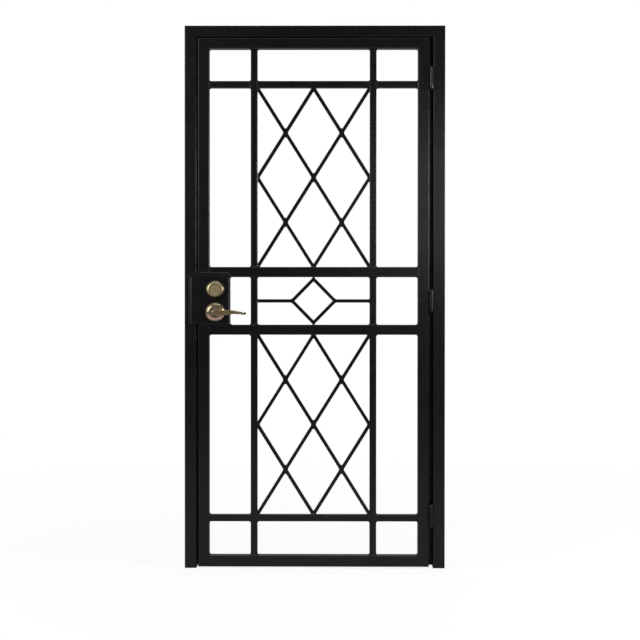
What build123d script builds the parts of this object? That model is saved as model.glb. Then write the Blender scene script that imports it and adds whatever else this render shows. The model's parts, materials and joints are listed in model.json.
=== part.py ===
"""Security grille door: a steel leaf of square tube and diamond lattice, hung on three barrel hinges in its frame.

Millimetres, +Z up. X runs to the right as seen from outside and -Y points to the outside.
The origin is at the foot of the hinge jamb, on its outer side face, half way through its depth.
The leaf opens outwards about the hinge barrels, which stand just in front of the gap on the right.
"""
import os
from math import atan2, degrees, hypot

from build123d import *

# Outer frame
FRAME_WIDTH = 990.6
FRAME_HEIGHT = 2063.75
JAMB_FACE = 44.45
HEADER_FACE = 42.0
TUBE_WALL = 2.0
TUBE_CORNER = 2.5
STOP_THICKNESS = 6.35
STOP_OVERLAP = 12.5
STOP_FOOT_GAP = 4.0
SCREW_HOLE_RADIUS = 4.0
SCREW_HOLE_HEIGHTS = (320.0, 760.0, 1300.0, 1740.0)

# Gaps round the closed leaf
STRIKE_GAP = 6.5
HINGE_GAP = 16.0
TOP_GAP = 5.5
FLOOR_GAP = 5.0
STOP_GAP = 6.35

# Leaf
LEAF_DEPTH = 38.1
STILE_FACE = 42.0
TOP_RAIL_FACE = 38.1
BOTTOM_RAIL_FACE = 42.0
MIDDLE_RAIL_FACE = 38.1
LOWER_RAIL_HEIGHT = 908.0
LOCK_BAY_HEIGHT = 181.9
UPRIGHT_SIZE = 25.4
UPRIGHT_CLEAR = 428.0
CROSSBAR_SIZE = 25.4
TOP_BAY_HEIGHT = 123.2
BOTTOM_BAY_HEIGHT = 129.7
LATTICE_BAR = 12.7
DIAMOND_WIDTH = 181.0
DIAMOND_SEAT = 1.5

# Lock
LOCK_BACKSET = 67.0
LEVER_ABOVE_RAIL = 48.0
LOCK_SPACING = 84.5
LOCK_BOX_WIDTH = 79.0
PLATE_THICKNESS = 3.0
PLATE_DEPTH = 14.0
PLATE_OVERHANG = 38.0
PLATE_LAP = 15.5
PLATE_TOP_BEVEL = 20.0
PLATE_SIDE_BEVEL = 12.5
PLATE_NARROW_BEVEL = 3.0
PLATE_RIDGE_EASE = 2.0
PLATE_RIDGE_START = 0.85
JAMB_CLEARANCE = 5.0
FACEPLATE_WIDTH = 25.4
FACEPLATE_HEIGHT = 57.0
STRIKE_WIDTH = 28.0
STRIKE_HEIGHT = 70.0
SEAT_CLEARANCE = 0.2
DEAD_BOLT_RADIUS = 11.0
LATCH_BOLT_RADIUS = 8.0
BOLT_LENGTH = 58.0
CYLINDER_RADIUS = 16.0
CYLINDER_END_CLEARANCE = 0.5
PLUG_RADIUS = 8.5
PLUG_GROOVE = 1.0
KEYWAY_WIDTH = 2.6
KEYWAY_HEIGHT = 11.0
KEYWAY_DEPTH = 9.0
LOCK_RING_RADIUS = 36.5
LOCK_RING_HEIGHT = 15.0
ROSE_RADIUS = 36.5
ROSE_HEIGHT = 13.0
COLLAR_RADIUS = 15.0
COLLAR_HEIGHT = 8.0
SHANK_RADIUS = 11.0
SHANK_LENGTH = 46.0
RUNNING_CLEARANCE = 0.3
SPINDLE_SIZE = 8.0
SPINDLE_HOLE_RADIUS = 8.0
SPINDLE_GRIP = 24.0

# Hinges
BARREL_RADIUS = 7.5
BARREL_LENGTH = 89.0
BARREL_STANDOFF = 1.5
BARREL_TOP_TAPER = 6.0
BARREL_BOTTOM_TAPER = 15.0
BARREL_TIP_RADIUS = 3.0
KNUCKLE_GAP = 0.6
PIN_RADIUS = 3.5
PIN_DEPTH = 26.0
PIN_END_CLEARANCE = 0.3
PIN_SEAT_CLEARANCE = 0.05
PIN_RUNNING_CLEARANCE = 0.1
WING_THICKNESS = 4.0
WING_REACH = 22.0
WING_HEIGHT = 27.0
TOP_HINGE_DROP = 154.0
BOTTOM_HINGE_RISE = 195.0

# Places worked out from the sizes above
FRAME_DEPTH = LEAF_DEPTH + STOP_GAP + STOP_THICKNESS
FRONT = -FRAME_DEPTH / 2
FRAME_BACK = FRAME_DEPTH / 2
LEAF_BACK = FRONT + LEAF_DEPTH
LEAF_MIDDLE = FRONT + LEAF_DEPTH / 2
FRAME_LEFT = -FRAME_WIDTH
STRIKE_FACE = FRAME_LEFT + JAMB_FACE
HINGE_FACE = -JAMB_FACE
HEADER_UNDERSIDE = FRAME_HEIGHT - HEADER_FACE
LEAF_LEFT = STRIKE_FACE + STRIKE_GAP
LEAF_RIGHT = HINGE_FACE - HINGE_GAP
LEAF_BOTTOM = FLOOR_GAP
LEAF_TOP = HEADER_UNDERSIDE - TOP_GAP
CLEAR_LEFT = LEAF_LEFT + STILE_FACE
CLEAR_RIGHT = LEAF_RIGHT - STILE_FACE
CLEAR_BOTTOM = LEAF_BOTTOM + BOTTOM_RAIL_FACE
CLEAR_TOP = LEAF_TOP - TOP_RAIL_FACE
LOWER_RAIL_TOP = LOWER_RAIL_HEIGHT + MIDDLE_RAIL_FACE / 2
LOWER_RAIL_BOTTOM = LOWER_RAIL_TOP - MIDDLE_RAIL_FACE
UPPER_RAIL_BOTTOM = LOWER_RAIL_TOP + LOCK_BAY_HEIGHT
UPPER_RAIL_TOP = UPPER_RAIL_BOTTOM + MIDDLE_RAIL_FACE
LOCK_BAY_MIDDLE = (LOWER_RAIL_TOP + UPPER_RAIL_BOTTOM) / 2
BOTTOM_CROSSBAR_LOW = CLEAR_BOTTOM + BOTTOM_BAY_HEIGHT
BOTTOM_CROSSBAR_HIGH = BOTTOM_CROSSBAR_LOW + CROSSBAR_SIZE
TOP_CROSSBAR_HIGH = CLEAR_TOP - TOP_BAY_HEIGHT
TOP_CROSSBAR_LOW = TOP_CROSSBAR_HIGH - CROSSBAR_SIZE
LEAF_CENTRE = (LEAF_LEFT + LEAF_RIGHT) / 2
PANEL_LEFT = LEAF_CENTRE - UPRIGHT_CLEAR / 2
PANEL_RIGHT = LEAF_CENTRE + UPRIGHT_CLEAR / 2
LOCK_LINE = LEAF_LEFT + LOCK_BACKSET
LOCK_BOX_RIGHT = CLEAR_LEFT + LOCK_BOX_WIDTH
LEVER_HEIGHT = LOWER_RAIL_TOP + LEVER_ABOVE_RAIL
DEAD_BOLT_HEIGHT = LEVER_HEIGHT + LOCK_SPACING
PLATE_FRONT = FRONT - PLATE_DEPTH
PLATE_LEFT = LEAF_LEFT - PLATE_OVERHANG
PLATE_RIGHT = LOCK_BOX_RIGHT
PLATE_BOTTOM = LOWER_RAIL_TOP
PLATE_TOP = UPPER_RAIL_BOTTOM + PLATE_LAP
HINGE_X = (LEAF_RIGHT + HINGE_FACE) / 2
HINGE_Y = FRONT - BARREL_RADIUS - BARREL_STANDOFF
HINGE_HEIGHTS = {
    "top": LEAF_TOP - TOP_HINGE_DROP,
    "middle": LOCK_BAY_MIDDLE,
    "bottom": LEAF_BOTTOM + BOTTOM_HINGE_RISE,
}


def block(x_low, x_high, y_low, y_high, z_low, z_high):
    """A plain box between two corners."""
    middle = Pos((x_low + x_high) / 2, (y_low + y_high) / 2, (z_low + z_high) / 2)
    return middle * Box(x_high - x_low, y_high - y_low, z_high - z_low)


def rod_along_x(radius, x_low, x_high, y, z):
    """A round bar, or the tool for a round hole, along X."""
    return Pos((x_low + x_high) / 2, y, z) * Rot(0, 90, 0) * Cylinder(radius, x_high - x_low)


def rod_along_y(radius, x, y_low, y_high, z):
    """A round bar, or the tool for a round hole, along Y."""
    return Pos(x, (y_low + y_high) / 2, z) * Rot(90, 0, 0) * Cylinder(radius, y_high - y_low)


def plate_in_xz(points, depth, y_middle):
    """A flat outline of (x, z) points, as thick as depth, about the plane y_middle."""
    outline = Plane.XZ * Polygon(*points, align=None)
    return Pos(0, y_middle, 0) * extrude(outline, depth / 2, both=True)


def between(start, end, share):
    """The point a share of the way from start to end."""
    return tuple(a + (b - a) * share for a, b in zip(start, end))


def tube(outer_ends, inner_ends, depth, y_middle):
    """A hollow tube whose ends are cut from an outer corner to the inner corner beside it.

    outer_ends and inner_ends are the (x, z) corners on the two long sides, in the same order, so
    a square cut or a mitre to a neighbour of another width both come from the corners alone.
    """
    upright = outer_ends[0][0] == outer_ends[1][0]
    axis_index = 0 if upright else 1
    face = abs(outer_ends[0][axis_index] - inner_ends[0][axis_index])
    skin = plate_in_xz([*outer_ends, inner_ends[1], inner_ends[0]], depth, y_middle)
    long_edges = skin.edges().filter_by(Axis.Z if upright else Axis.X)
    skin = fillet(long_edges, TUBE_CORNER)
    wall_share = TUBE_WALL / face
    void_outer = [between(a, b, wall_share) for a, b in zip(outer_ends, inner_ends)]
    void_inner = [between(b, a, wall_share) for a, b in zip(outer_ends, inner_ends)]
    void_points = [*void_outer, void_inner[1], void_inner[0]]
    return skin - plate_in_xz(void_points, depth - 2 * TUBE_WALL, y_middle)


def upright_tube(x_low, x_high, z_low, z_high, depth):
    """A vertical tube with square ends, centred in the depth of the leaf."""
    return tube(
        [(x_low, z_low), (x_low, z_high)], [(x_high, z_low), (x_high, z_high)], depth, LEAF_MIDDLE
    )


def level_tube(x_low, x_high, z_low, z_high, depth):
    """A horizontal tube with square ends, centred in the depth of the leaf."""
    return tube(
        [(x_low, z_low), (x_high, z_low)], [(x_low, z_high), (x_high, z_high)], depth, LEAF_MIDDLE
    )


# Outer frame


def screw_holes(x_low, x_high):
    """Wall screw holes straight through the sides of a jamb."""
    return [rod_along_x(SCREW_HOLE_RADIUS, x_low, x_high, 0, z) for z in SCREW_HOLE_HEIGHTS]


def strike_jamb():
    """The left jamb, with its wall screw holes and the recesses for the two strike plates."""
    body = tube(
        [(FRAME_LEFT, 0), (FRAME_LEFT, FRAME_HEIGHT)],
        [(STRIKE_FACE, 0), (STRIKE_FACE, HEADER_UNDERSIDE)],
        FRAME_DEPTH,
        0,
    )
    body -= screw_holes(FRAME_LEFT - 1, STRIKE_FACE + 1)
    half_width = STRIKE_WIDTH / 2 + SEAT_CLEARANCE
    half_height = STRIKE_HEIGHT / 2 + SEAT_CLEARANCE
    for height in (LEVER_HEIGHT, DEAD_BOLT_HEIGHT):
        body -= block(
            STRIKE_FACE - TUBE_WALL - 1,
            STRIKE_FACE + 1,
            LEAF_MIDDLE - half_width,
            LEAF_MIDDLE + half_width,
            height - half_height,
            height + half_height,
        )
    return body


def hinge_jamb():
    """The right jamb, with its wall screw holes."""
    body = tube(
        [(0, 0), (0, FRAME_HEIGHT)],
        [(HINGE_FACE, 0), (HINGE_FACE, HEADER_UNDERSIDE)],
        FRAME_DEPTH,
        0,
    )
    return body - screw_holes(HINGE_FACE - 1, 1)


def header():
    """The head of the frame, mitred to both jambs."""
    return tube(
        [(FRAME_LEFT, FRAME_HEIGHT), (0, FRAME_HEIGHT)],
        [(STRIKE_FACE, HEADER_UNDERSIDE), (HINGE_FACE, HEADER_UNDERSIDE)],
        FRAME_DEPTH,
        0,
    )


STOP_FRONT = FRAME_BACK - STOP_THICKNESS
STRIKE_STOP_EDGE = LEAF_LEFT + STOP_OVERLAP
HINGE_STOP_EDGE = LEAF_RIGHT - STOP_OVERLAP


def strike_stop():
    """Flat bar on the strike jamb, behind the edge of the leaf."""
    return block(
        STRIKE_FACE, STRIKE_STOP_EDGE, STOP_FRONT, FRAME_BACK, STOP_FOOT_GAP, HEADER_UNDERSIDE
    )


def hinge_stop():
    """Flat bar on the hinge jamb, behind the edge of the leaf."""
    return block(
        HINGE_STOP_EDGE, HINGE_FACE, STOP_FRONT, FRAME_BACK, STOP_FOOT_GAP, HEADER_UNDERSIDE
    )


def header_stop():
    """Flat bar under the header, between the two upright stops."""
    return block(
        STRIKE_STOP_EDGE,
        HINGE_STOP_EDGE,
        STOP_FRONT,
        FRAME_BACK,
        LEAF_TOP - STOP_OVERLAP,
        HEADER_UNDERSIDE,
    )


def lock_edge_plate(x_low, x_high, width, height, z, bolt_radius):
    """A flat plate across the lock edge with a round hole for its bolt."""
    plate = block(
        x_low, x_high, LEAF_MIDDLE - width / 2, LEAF_MIDDLE + width / 2, z - height / 2, z + height / 2
    )
    hole_radius = bolt_radius + RUNNING_CLEARANCE
    return plate - rod_along_x(hole_radius, x_low - 1, x_high + 1, LEAF_MIDDLE, z)


def strike_plates():
    """The two strikes, flush in the side of the strike jamb."""
    return [
        lock_edge_plate(
            STRIKE_FACE - TUBE_WALL, STRIKE_FACE, STRIKE_WIDTH, STRIKE_HEIGHT, z, radius
        )
        for z, radius in (
            (LEVER_HEIGHT, LATCH_BOLT_RADIUS),
            (DEAD_BOLT_HEIGHT, DEAD_BOLT_RADIUS),
        )
    ]


# Leaf perimeter, rails and bars


def lock_stile():
    """The left stile, mitred to the rails, with the seats of the faceplates and the bolts."""
    body = tube(
        [(LEAF_LEFT, LEAF_BOTTOM), (LEAF_LEFT, LEAF_TOP)],
        [(CLEAR_LEFT, CLEAR_BOTTOM), (CLEAR_LEFT, CLEAR_TOP)],
        LEAF_DEPTH,
        LEAF_MIDDLE,
    )
    half_width = FACEPLATE_WIDTH / 2 + SEAT_CLEARANCE
    half_height = FACEPLATE_HEIGHT / 2 + SEAT_CLEARANCE
    for height in (LEVER_HEIGHT, DEAD_BOLT_HEIGHT):
        body -= block(
            LEAF_LEFT - 1,
            LEAF_LEFT + TUBE_WALL + 1,
            LEAF_MIDDLE - half_width,
            LEAF_MIDDLE + half_width,
            height - half_height,
            height + half_height,
        )
    return body - bolt_holes()


def hinge_stile():
    """The right stile, mitred to the rails."""
    return tube(
        [(LEAF_RIGHT, LEAF_BOTTOM), (LEAF_RIGHT, LEAF_TOP)],
        [(CLEAR_RIGHT, CLEAR_BOTTOM), (CLEAR_RIGHT, CLEAR_TOP)],
        LEAF_DEPTH,
        LEAF_MIDDLE,
    )


def top_rail():
    """The top of the leaf, mitred to the stiles."""
    return tube(
        [(LEAF_LEFT, LEAF_TOP), (LEAF_RIGHT, LEAF_TOP)],
        [(CLEAR_LEFT, CLEAR_TOP), (CLEAR_RIGHT, CLEAR_TOP)],
        LEAF_DEPTH,
        LEAF_MIDDLE,
    )


def bottom_rail():
    """The foot of the leaf, mitred to the stiles."""
    return tube(
        [(LEAF_LEFT, LEAF_BOTTOM), (LEAF_RIGHT, LEAF_BOTTOM)],
        [(CLEAR_LEFT, CLEAR_BOTTOM), (CLEAR_RIGHT, CLEAR_BOTTOM)],
        LEAF_DEPTH,
        LEAF_MIDDLE,
    )


def upper_middle_rail():
    """The rail over the lock bay."""
    return level_tube(CLEAR_LEFT, CLEAR_RIGHT, UPPER_RAIL_BOTTOM, UPPER_RAIL_TOP, LEAF_DEPTH)


def lower_middle_rail():
    """The rail under the lock bay."""
    return level_tube(CLEAR_LEFT, CLEAR_RIGHT, LOWER_RAIL_BOTTOM, LOWER_RAIL_TOP, LEAF_DEPTH)


def upright_lengths(x_low):
    """One inner upright, in the three lengths between the rails."""
    spans = (
        (CLEAR_BOTTOM, LOWER_RAIL_BOTTOM),
        (LOWER_RAIL_TOP, UPPER_RAIL_BOTTOM),
        (UPPER_RAIL_TOP, CLEAR_TOP),
    )
    return [upright_tube(x_low, x_low + UPRIGHT_SIZE, low, high, UPRIGHT_SIZE) for low, high in spans]


def crossbar_lengths(z_low):
    """One crossbar, in the three lengths between the stiles and the uprights."""
    spans = (
        (CLEAR_LEFT, PANEL_LEFT - UPRIGHT_SIZE),
        (PANEL_LEFT, PANEL_RIGHT),
        (PANEL_RIGHT + UPRIGHT_SIZE, CLEAR_RIGHT),
    )
    return [level_tube(low, high, z_low, z_low + CROSSBAR_SIZE, CROSSBAR_SIZE) for low, high in spans]


def bar_outline(start, end):
    """The flat outline of a lattice bar between two (x, z) points, long enough to be trimmed."""
    run_x, run_z = end[0] - start[0], end[1] - start[1]
    middle_x, middle_z = between(start, end, 0.5)
    turn = Rot(0, 0, degrees(atan2(run_z, run_x)))
    return Pos(middle_x, middle_z) * turn * Rectangle(hypot(run_x, run_z) + 4 * LATTICE_BAR, LATTICE_BAR)


def lattice(z_low, z_high):
    """A diamond lattice that fills one panel: a cross from corner to corner and a ring of four bars.

    The ring joins the middles of the panel's sides. All bars are fused where they cross and are
    trimmed to the faces of the uprights and crossbars.
    """
    middle_x, middle_z = (PANEL_LEFT + PANEL_RIGHT) / 2, (z_low + z_high) / 2
    left, right = (PANEL_LEFT, middle_z), (PANEL_RIGHT, middle_z)
    bottom, top = (middle_x, z_low), (middle_x, z_high)
    runs = [
        ((PANEL_LEFT, z_low), (PANEL_RIGHT, z_high)),
        ((PANEL_LEFT, z_high), (PANEL_RIGHT, z_low)),
        (left, top),
        (top, right),
        (right, bottom),
        (bottom, left),
    ]
    bars = Sketch() + [bar_outline(start, end) for start, end in runs]
    panel = Pos(middle_x, middle_z) * Rectangle(PANEL_RIGHT - PANEL_LEFT, z_high - z_low)
    grille = Plane.XZ * (bars & panel)
    return Pos(0, LEAF_MIDDLE, 0) * extrude(grille, LATTICE_BAR / 2, both=True)


def diamond_points(share=1.0):
    """The (x, z) corners of the centre diamond, or of a smaller one inside it."""
    half_width = share * DIAMOND_WIDTH / 2
    half_height = share * (LOCK_BAY_HEIGHT / 2 + DIAMOND_SEAT)
    return [
        (LEAF_CENTRE - half_width, LOCK_BAY_MIDDLE),
        (LEAF_CENTRE, LOCK_BAY_MIDDLE + half_height),
        (LEAF_CENTRE + half_width, LOCK_BAY_MIDDLE),
        (LEAF_CENTRE, LOCK_BAY_MIDDLE - half_height),
    ]


def centre_diamond():
    """The diamond between the middle rails, trimmed flat where it is welded to them."""
    half_width, half_height = DIAMOND_WIDTH / 2, LOCK_BAY_HEIGHT / 2 + DIAMOND_SEAT
    reach = half_width * half_height / hypot(half_width, half_height)
    inside = (reach - LATTICE_BAR) / reach
    ring = plate_in_xz(diamond_points(), LATTICE_BAR, LEAF_MIDDLE)
    ring -= plate_in_xz(diamond_points(inside), LATTICE_BAR, LEAF_MIDDLE)
    bay = block(PANEL_LEFT, PANEL_RIGHT, FRONT, LEAF_BACK, LOWER_RAIL_TOP, UPPER_RAIL_BOTTOM)
    return ring & bay


def diamond_arms():
    """The level bars from the uprights to the diamond, notched over its corners."""
    notch = plate_in_xz(diamond_points(), LEAF_DEPTH, LEAF_MIDDLE)
    low, high = LOCK_BAY_MIDDLE - LATTICE_BAR / 2, LOCK_BAY_MIDDLE + LATTICE_BAR / 2
    front, back = LEAF_MIDDLE - LATTICE_BAR / 2, LEAF_MIDDLE + LATTICE_BAR / 2
    left = block(PANEL_LEFT, LEAF_CENTRE - DIAMOND_WIDTH / 4, front, back, low, high)
    right = block(LEAF_CENTRE + DIAMOND_WIDTH / 4, PANEL_RIGHT, front, back, low, high)
    return [nearest_piece(left - notch, PANEL_LEFT), nearest_piece(right - notch, PANEL_RIGHT)]


def nearest_piece(cut, x):
    """Of the solids that a cut leaves, the one nearest to a place on X."""
    return min(cut.solids(), key=lambda piece: abs(piece.center().X - x))


# Lock


def bolt_holes():
    """Tools for the holes that the two bolts run through, in the stile and the lock box."""
    return [
        rod_along_x(radius + RUNNING_CLEARANCE, LEAF_LEFT, CLEAR_LEFT + TUBE_WALL + 1, LEAF_MIDDLE, z)
        for z, radius in (
            (LEVER_HEIGHT, LATCH_BOLT_RADIUS),
            (DEAD_BOLT_HEIGHT, DEAD_BOLT_RADIUS),
        )
    ]


def trim_holes(y_low, y_high):
    """Tools for the holes of the lock cylinder and the lever spindle."""
    return [
        rod_along_y(CYLINDER_RADIUS + RUNNING_CLEARANCE, LOCK_LINE, y_low, y_high, DEAD_BOLT_HEIGHT),
        rod_along_y(SPINDLE_HOLE_RADIUS, LOCK_LINE, y_low, y_high, LEVER_HEIGHT),
    ]


def lock_box():
    """The box beside the stile that holds the locks, open to the rails at its ends."""
    body = upright_tube(CLEAR_LEFT, LOCK_BOX_RIGHT, LOWER_RAIL_TOP, UPPER_RAIL_BOTTOM, LEAF_DEPTH)
    return body - bolt_holes() - trim_holes(FRONT - 1, LEAF_BACK + 1)


def plate_level(y, inset, share):
    """A cross-section of the guard plate at one depth, inset all round, a share of the way up its bevels."""
    left = PLATE_LEFT + inset + share * PLATE_SIDE_BEVEL
    right = PLATE_RIGHT - inset - share * PLATE_NARROW_BEVEL
    bottom = PLATE_BOTTOM + inset + share * PLATE_NARROW_BEVEL
    top = PLATE_TOP - inset - share * PLATE_TOP_BEVEL
    corners = [(left, bottom), (right, bottom), (right, top), (left, top)]
    return Pos(0, y, 0) * (Plane.XZ * Polygon(*corners, align=None))


def guard_plate():
    """The formed plate over the lock, bevelled all round, which laps the strike jamb with a clearance.

    Wide bevels run along its top and left sides, and the ridges round its face are eased. Its
    skirt stands on the leaf, and it is open at the back.
    """
    rim = FRONT - JAMB_CLEARANCE
    ridge_start = rim + PLATE_RIDGE_START * (PLATE_FRONT - rim)
    skin = loft(
        [
            plate_level(PLATE_FRONT, PLATE_RIDGE_EASE, 1),
            plate_level(ridge_start, 0, PLATE_RIDGE_START),
            plate_level(rim, 0, 0),
        ],
        ruled=True,
    )
    hollow = loft(
        [
            plate_level(PLATE_FRONT + PLATE_THICKNESS, PLATE_THICKNESS, 1),
            plate_level(rim, PLATE_THICKNESS, 0),
        ],
        ruled=True,
    )
    skirt_left = LEAF_LEFT + PLATE_THICKNESS
    skirt = block(skirt_left, PLATE_RIGHT, rim, FRONT, PLATE_BOTTOM, PLATE_TOP)
    skirt -= block(
        skirt_left - 1,
        PLATE_RIGHT - PLATE_THICKNESS,
        rim,
        FRONT,
        PLATE_BOTTOM + PLATE_THICKNESS,
        PLATE_TOP - PLATE_THICKNESS,
    )
    return skin - hollow + skirt - trim_holes(PLATE_FRONT - 1, PLATE_FRONT + PLATE_THICKNESS + 1)


def bolt_faceplates():
    """The two faceplates, flush in the lock edge of the leaf."""
    return [
        lock_edge_plate(
            LEAF_LEFT, LEAF_LEFT + TUBE_WALL, FACEPLATE_WIDTH, FACEPLATE_HEIGHT, z, radius
        )
        for z, radius in (
            (LEVER_HEIGHT, LATCH_BOLT_RADIUS),
            (DEAD_BOLT_HEIGHT, DEAD_BOLT_RADIUS),
        )
    ]


def dead_bolt():
    """The dead bolt, drawn back flush with its faceplate."""
    return rod_along_x(
        DEAD_BOLT_RADIUS, LEAF_LEFT, LEAF_LEFT + BOLT_LENGTH, LEAF_MIDDLE, DEAD_BOLT_HEIGHT
    )


def latch_bolt():
    """The latch, drawn back flush with its faceplate, with its sloping nose to the outside."""
    body = rod_along_x(
        LATCH_BOLT_RADIUS, LEAF_LEFT, LEAF_LEFT + BOLT_LENGTH, LEAF_MIDDLE, LEVER_HEIGHT
    )
    nose = LEAF_MIDDLE - LATCH_BOLT_RADIUS
    slope = Polygon(
        (LEAF_LEFT - 1, nose - 1),
        (LEAF_LEFT - 1, nose + 1.5 * LATCH_BOLT_RADIUS),
        (LEAF_LEFT + 1.5 * LATCH_BOLT_RADIUS, nose - 1),
        align=None,
    )
    wedge = extrude(slope, LATCH_BOLT_RADIUS + 1, both=True)
    return body - Pos(0, 0, LEVER_HEIGHT) * wedge


def turned(points, seat, outward, z, curve=None):
    """A turned piece on the lock line: its half outline of (radius, height) points, spun about Y.

    seat is the plane it stands on and outward is -1 on the outside of the door and 1 on the
    inside. curve names the index of the point that a curved stretch passes, between its
    neighbours.
    """
    places = [(radius, outward * height) for radius, height in points]
    lines = []
    index = 0
    while index < len(places):
        following = places[(index + 1) % len(places)]
        if curve is not None and index + 1 == curve:
            lines.append(ThreePointArc(places[index], following, places[(index + 2) % len(places)]))
            index += 2
        else:
            lines.append(Line(places[index], following))
            index += 1
    profile = make_face(lines)
    return Pos(LOCK_LINE, seat, z) * revolve(profile, Axis.Y)


def lock_ring(seat, outward):
    """The domed ring round a lock cylinder."""
    bore = CYLINDER_RADIUS + RUNNING_CLEARANCE
    points = [
        (bore, 0),
        (LOCK_RING_RADIUS, 0),
        (LOCK_RING_RADIUS, LOCK_RING_HEIGHT * 0.2),
        (LOCK_RING_RADIUS * 0.89, LOCK_RING_HEIGHT * 0.7),
        (LOCK_RING_RADIUS * 0.73, LOCK_RING_HEIGHT * 0.95),
        (LOCK_RING_RADIUS * 0.68, LOCK_RING_HEIGHT),
        (LOCK_RING_RADIUS * 0.62, LOCK_RING_HEIGHT),
        (LOCK_RING_RADIUS * 0.57, LOCK_RING_HEIGHT * 0.86),
        (bore, LOCK_RING_HEIGHT * 0.84),
    ]
    return turned(points, seat, outward, DEAD_BOLT_HEIGHT, curve=3)


def lock_cylinder(seat, outward):
    """A keyed cylinder, with the groove round its plug and the keyway in the face."""
    face = seat + outward * (LOCK_RING_HEIGHT * 0.84 - 0.5)
    back = LEAF_MIDDLE + outward * (DEAD_BOLT_RADIUS + CYLINDER_END_CLEARANCE)
    body = rod_along_y(
        CYLINDER_RADIUS, LOCK_LINE, min(face, back), max(face, back), DEAD_BOLT_HEIGHT
    )
    keyway = Pos(LOCK_LINE, face, DEAD_BOLT_HEIGHT) * Box(
        KEYWAY_WIDTH, 2 * KEYWAY_DEPTH, KEYWAY_HEIGHT
    )
    groove_ends = (face - PLUG_GROOVE, face + PLUG_GROOVE)
    groove = rod_along_y(PLUG_RADIUS + PLUG_GROOVE, LOCK_LINE, *groove_ends, DEAD_BOLT_HEIGHT)
    groove -= rod_along_y(PLUG_RADIUS, LOCK_LINE, *groove_ends, DEAD_BOLT_HEIGHT)
    return body - keyway - groove


def rose(seat, outward):
    """The domed rose and collar that carry the shank of a lever."""
    bore = SHANK_RADIUS + RUNNING_CLEARANCE
    points = [
        (bore, 0),
        (ROSE_RADIUS, 0),
        (ROSE_RADIUS, ROSE_HEIGHT / 4),
        (ROSE_RADIUS * 0.82, ROSE_HEIGHT * 0.8),
        (COLLAR_RADIUS + 2, ROSE_HEIGHT),
        (COLLAR_RADIUS, ROSE_HEIGHT + 2),
        (COLLAR_RADIUS, ROSE_HEIGHT + COLLAR_HEIGHT),
        (bore, ROSE_HEIGHT + COLLAR_HEIGHT),
    ]
    return turned(points, seat, outward, LEVER_HEIGHT, curve=3)


# Lever sections: distance from the spindle, rise of the centre line, half height and half thickness
LEVER_SECTIONS = (
    (-10.0, 0.0, 7.0, 5.0),
    (0.0, 0.0, 12.0, 8.5),
    (20.0, -3.4, 12.4, 7.6),
    (38.0, -2.4, 10.4, 6.2),
    (56.0, -0.5, 7.9, 5.2),
    (76.0, -1.4, 5.6, 4.5),
    (94.0, -3.6, 4.3, 4.0),
)
LEVER_TIP = (106.0, -5.6)
LEVER_TIP_RADIUS = 5.2
LEVER_NECK_RADIUS = 2.6


def lever(seat, outward):
    """A lever that points to the hinge side: its shank, the waved arm, a thin neck and a round tip."""
    arm_y = seat + outward * SHANK_LENGTH
    shank_foot = seat + outward * 2
    shank = rod_along_y(
        SHANK_RADIUS, LOCK_LINE, min(shank_foot, arm_y), max(shank_foot, arm_y), LEVER_HEIGHT
    )
    sections = []
    for along, rise, half_height, half_thickness in LEVER_SECTIONS:
        place = Plane((LOCK_LINE + along, arm_y, LEVER_HEIGHT + rise), x_dir=(0, 1, 0), z_dir=(1, 0, 0))
        sections.append(place * Ellipse(half_thickness, half_height))
    arm = loft(sections)
    tip_along, tip_rise = LEVER_TIP
    end_along, end_rise = LEVER_SECTIONS[-1][:2]
    tip = Pos(LOCK_LINE + tip_along, arm_y, LEVER_HEIGHT + tip_rise) * Sphere(LEVER_TIP_RADIUS)
    neck_line = Vector(tip_along - end_along, 0, tip_rise - end_rise)
    neck_start = (LOCK_LINE + end_along, arm_y, LEVER_HEIGHT + end_rise)
    neck_end = Plane(neck_start, z_dir=neck_line).offset(-2)
    neck = extrude(neck_end * Circle(LEVER_NECK_RADIUS), neck_line.length + 2)
    socket = SPINDLE_SIZE + 2 * SEAT_CLEARANCE
    socket_end = shank_foot + outward * SPINDLE_GRIP
    socket_low, socket_high = sorted((shank_foot, socket_end))
    hole = Pos(LOCK_LINE, (socket_low + socket_high) / 2, LEVER_HEIGHT) * Box(
        socket, socket_high - socket_low, socket
    )
    return shank + arm + neck + tip - hole


def lever_spindle():
    """The square bar that joins the two levers through the lock."""
    outer_end = PLATE_FRONT - 2 - SPINDLE_GRIP + 1
    inner_end = LEAF_BACK + 2 + SPINDLE_GRIP - 1
    return Pos(LOCK_LINE, (outer_end + inner_end) / 2, LEVER_HEIGHT) * Box(
        SPINDLE_SIZE, inner_end - outer_end, SPINDLE_SIZE
    )


# Hinges


def half_barrel(height, upper):
    """One half of a hinge barrel with its tapered end, before its bore is cut."""
    near = KNUCKLE_GAP / 2
    far = BARREL_LENGTH / 2
    taper = BARREL_TOP_TAPER if upper else BARREL_BOTTOM_TAPER
    side = 1 if upper else -1
    shoulder = far - taper
    shape = [
        Line((0, side * near), (BARREL_RADIUS, side * near)),
        Line((BARREL_RADIUS, side * near), (BARREL_RADIUS, side * shoulder)),
        ThreePointArc(
            (BARREL_RADIUS, side * shoulder),
            ((2 * BARREL_RADIUS + BARREL_TIP_RADIUS) / 3, side * (shoulder + 0.62 * taper)),
            (BARREL_TIP_RADIUS, side * far),
        ),
        Line((BARREL_TIP_RADIUS, side * far), (0, side * far)),
        Line((0, side * far), (0, side * near)),
    ]
    profile = Plane.XZ * make_face(shape)
    return Pos(HINGE_X, HINGE_Y, height) * revolve(profile, Axis.Z)


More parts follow.
